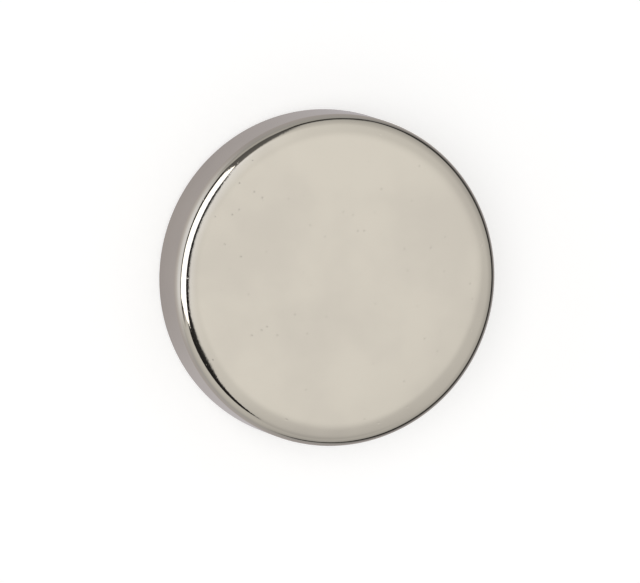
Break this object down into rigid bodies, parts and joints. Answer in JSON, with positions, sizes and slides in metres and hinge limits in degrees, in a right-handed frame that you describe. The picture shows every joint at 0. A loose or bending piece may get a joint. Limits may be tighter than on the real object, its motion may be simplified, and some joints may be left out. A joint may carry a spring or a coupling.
{
  "type": "disc magnet",
  "caption": "Flat round disc magnet with two pole faces and softened edges, nickel plated all over, for holding sheets and small steel things.",
  "frame": {"origin": "centre of the lower pole face, on the surface that the disc lies on", "axes": "+Z along the disc's axis, out of the upper pole face; X and Y lie across the disc and are alike"},
  "size_m": [0.018, 0.018, 0.004],
  "materials": {
    "nickel_plate": "bright nickel plate over a tumbled sintered disc, faintly uneven"
  },
  "bodies": {
    "root": {"magnet_disc": "nickel_plate"}
  },
  "joints": []
}
